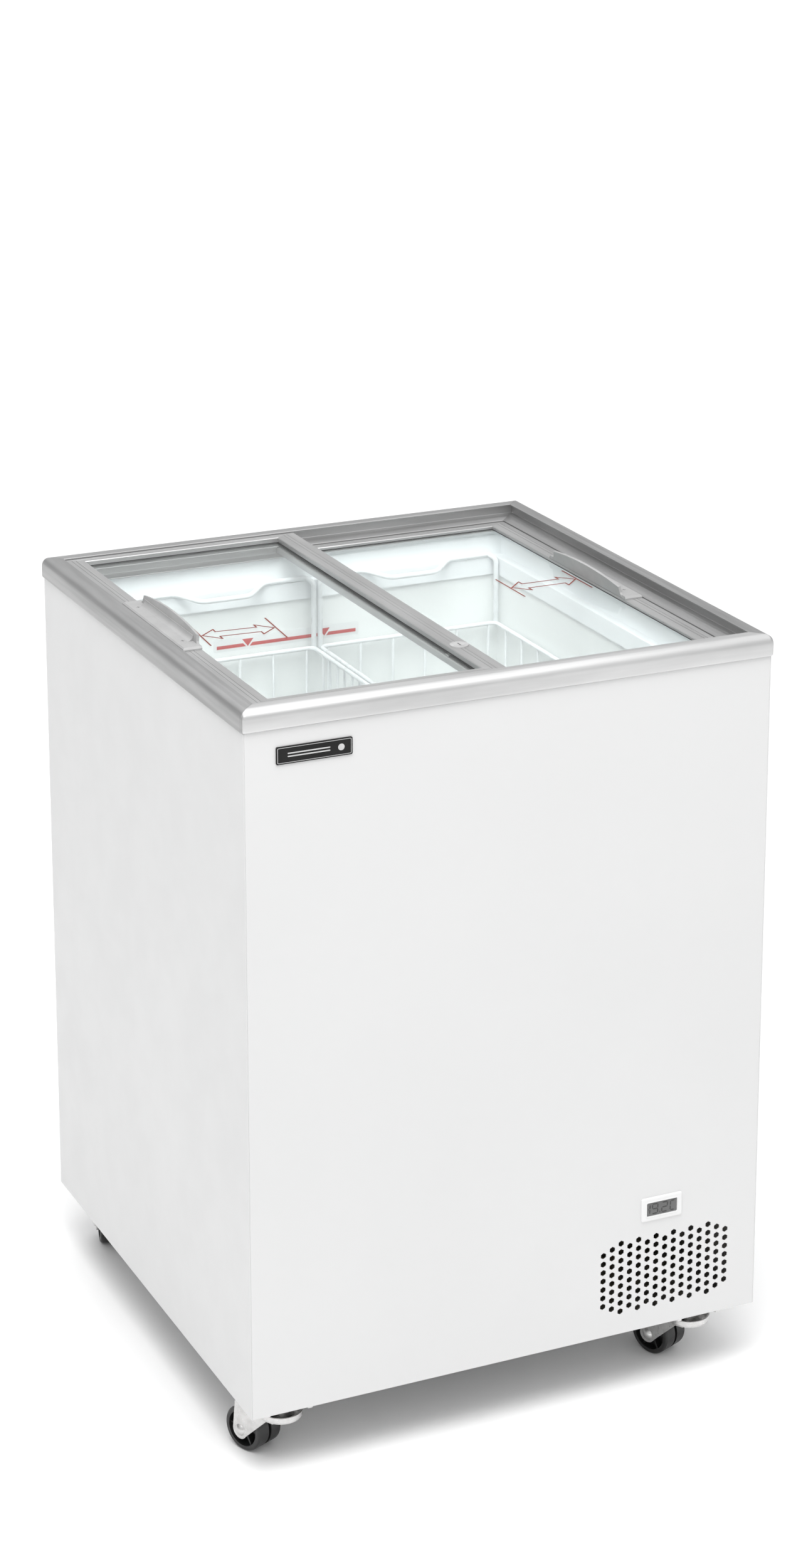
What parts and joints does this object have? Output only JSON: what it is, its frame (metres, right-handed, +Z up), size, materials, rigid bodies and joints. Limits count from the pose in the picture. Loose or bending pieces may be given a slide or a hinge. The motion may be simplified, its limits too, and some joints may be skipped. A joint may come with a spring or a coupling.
{
  "type": "ice cream dipping cabinet",
  "caption": "Small insulated ice cream chest on castors with framed sliding glass lids, hanging wire baskets and a vented machine compartment.",
  "frame": {"origin": "on the floor under the middle of the cabinet", "axes": "+Z up, the front faces -Y, +X to the right as seen from the front"},
  "size_m": [0.606, 0.606, 0.8613],
  "materials": {
    "white_sheet": "smooth gloss white paint",
    "galvanised": "galvanised sheet",
    "foam": "rigid foam",
    "liner": "white coated sheet",
    "collar": "bright white plastic",
    "frame_grey": "satin",
    "lid_grey": "satin, fine lengthwise lines",
    "handle_grey": "moulded, fine grain",
    "black_plate": "gloss",
    "white_plastic": "smooth moulded",
    "display": "liquid crystal display",
    "red_print": "printed film",
    "brown_print": "printed film",
    "black_enamel": "gloss black enamel",
    "rubber": "matte",
    "copper": "drawn copper",
    "tube_metal": "drawn tube",
    "black_plastic": "moulded",
    "zinc": "bright zinc plate",
    "lid_glass": "clear tempered",
    "white_wire": "white plastic coated wire",
    "wheel_black": "moulded"
  },
  "bodies": {
    "cabinet": {"front_panel": "white_sheet", "left_panel": "white_sheet", "right_panel": "white_sheet", "back_panel": "white_sheet", "base_plate": "galvanised", "insulation_foam": "foam", "inner_liner": "liner", "liner_collar": "collar", "frame_front": "frame_grey", "frame_back": "frame_grey", "frame_left": "frame_grey", "frame_right": "frame_grey", "badge_plate": "black_plate", "thermometer_bezel": "white_plastic", "thermometer_display": "display", "load_line_sticker": "red_print", "compressor": "black_enamel", "compressor_mounts": "rubber", "filter_drier": "copper", "condenser_coil": "copper", "evaporator_coil": "tube_metal", "cord_gland": "black_plastic", "thermostat_body": "white_plastic", "rear_grille": "white_sheet", "screws": "zinc", "castor_plates": "zinc"},
    "lid_left": {"lid_left_glass": "lid_glass", "lid_left_rails": "lid_grey", "lid_left_outer_stile": "lid_grey", "lid_left_centre_stile": "lid_grey", "lid_left_handle": "handle_grey", "lid_left_handle_screws": "zinc", "lid_left_slide_mark": "brown_print", "lock_barrel": "zinc"},
    "lock": {"lock_plug": "zinc", "lock_cam": "zinc"},
    "lid_right": {"lid_right_glass": "lid_glass", "lid_right_rails": "lid_grey", "lid_right_outer_stile": "lid_grey", "lid_right_inner_stile": "lid_grey", "lid_right_handle": "handle_grey", "lid_right_handle_screws": "zinc", "lid_right_slide_mark": "brown_print"},
    "basket_left": {"basket_left_cage": "white_wire", "basket_left_hangers": "white_wire"},
    "basket_right": {"basket_right_cage": "white_wire", "basket_right_hangers": "white_wire"},
    "knob": {"thermostat_knob": "black_plastic"},
    "castor_fl": {"castor_fl_fork": "zinc", "castor_fl_axle": "zinc"},
    "wheel_fl": {"castor_fl_wheel": "wheel_black"},
    "castor_fr": {"castor_fr_fork": "zinc", "castor_fr_axle": "zinc"},
    "wheel_fr": {"castor_fr_wheel": "wheel_black"},
    "castor_bl": {"castor_bl_fork": "zinc", "castor_bl_axle": "zinc"},
    "wheel_bl": {"castor_bl_wheel": "wheel_black"},
    "castor_br": {"castor_br_fork": "zinc", "castor_br_axle": "zinc"},
    "wheel_br": {"castor_br_wheel": "wheel_black"}
  },
  "joints": [
    {"name": "lid_left_slide", "type": "slide", "parent": "cabinet", "child": "lid_left", "axis": [1, 0, 0], "range_m": [0, 0.235]},
    {"name": "lid_right_slide", "type": "slide", "parent": "cabinet", "child": "lid_right", "axis": [1, 0, 0], "range_m": [-0.235, 0]},
    {"name": "lock_turn", "type": "hinge", "parent": "lid_left", "child": "lock", "pos_m": [-0.0125, -0.191, 0.838], "axis": [0, 0, 1], "range_deg": [0, 90]},
    {"name": "basket_left_lift", "type": "slide", "parent": "cabinet", "child": "basket_left", "axis": [0, 0, 1], "range_m": [0, 0.018]},
    {"name": "basket_right_lift", "type": "slide", "parent": "cabinet", "child": "basket_right", "axis": [0, 0, 1], "range_m": [0, 0.018]},
    {"name": "thermostat_turn", "type": "hinge", "parent": "cabinet", "child": "knob", "pos_m": [0.246, 0.292, 0.251], "axis": [0, 1, 0], "range_deg": [0, 270]},
    {"name": "castor_fl_swivel", "type": "hinge", "parent": "cabinet", "child": "castor_fl", "pos_m": [-0.254, -0.268, 0.06], "axis": [0, 0, 1], "continuous": true},
    {"name": "castor_fl_spin", "type": "hinge", "parent": "castor_fl", "child": "wheel_fl", "pos_m": [-0.27002, -0.23026, 0.025], "axis": [-0.9205, -0.3907, 0], "continuous": true},
    {"name": "castor_fr_swivel", "type": "hinge", "parent": "cabinet", "child": "castor_fr", "pos_m": [0.2355, -0.269, 0.06], "axis": [0, 0, 1], "continuous": true},
    {"name": "castor_fr_spin", "type": "hinge", "parent": "castor_fr", "child": "wheel_fr", "pos_m": [0.21948, -0.23126, 0.025], "axis": [-0.9205, -0.3907, 0], "continuous": true},
    {"name": "castor_bl_swivel", "type": "hinge", "parent": "cabinet", "child": "castor_bl", "pos_m": [-0.258, 0.227, 0.06], "axis": [0, 0, 1], "continuous": true},
    {"name": "castor_bl_spin", "type": "hinge", "parent": "castor_bl", "child": "wheel_bl", "pos_m": [-0.24739, 0.2666, 0.025], "axis": [-0.9659, 0.2588, 0], "continuous": true},
    {"name": "castor_br_swivel", "type": "hinge", "parent": "cabinet", "child": "castor_br", "pos_m": [0.245, 0.227, 0.06], "axis": [0, 0, 1], "continuous": true},
    {"name": "castor_br_spin", "type": "hinge", "parent": "castor_br", "child": "wheel_br", "pos_m": [0.23788, 0.26738, 0.025], "axis": [-0.9848, -0.1736, 0], "continuous": true}
  ]
}
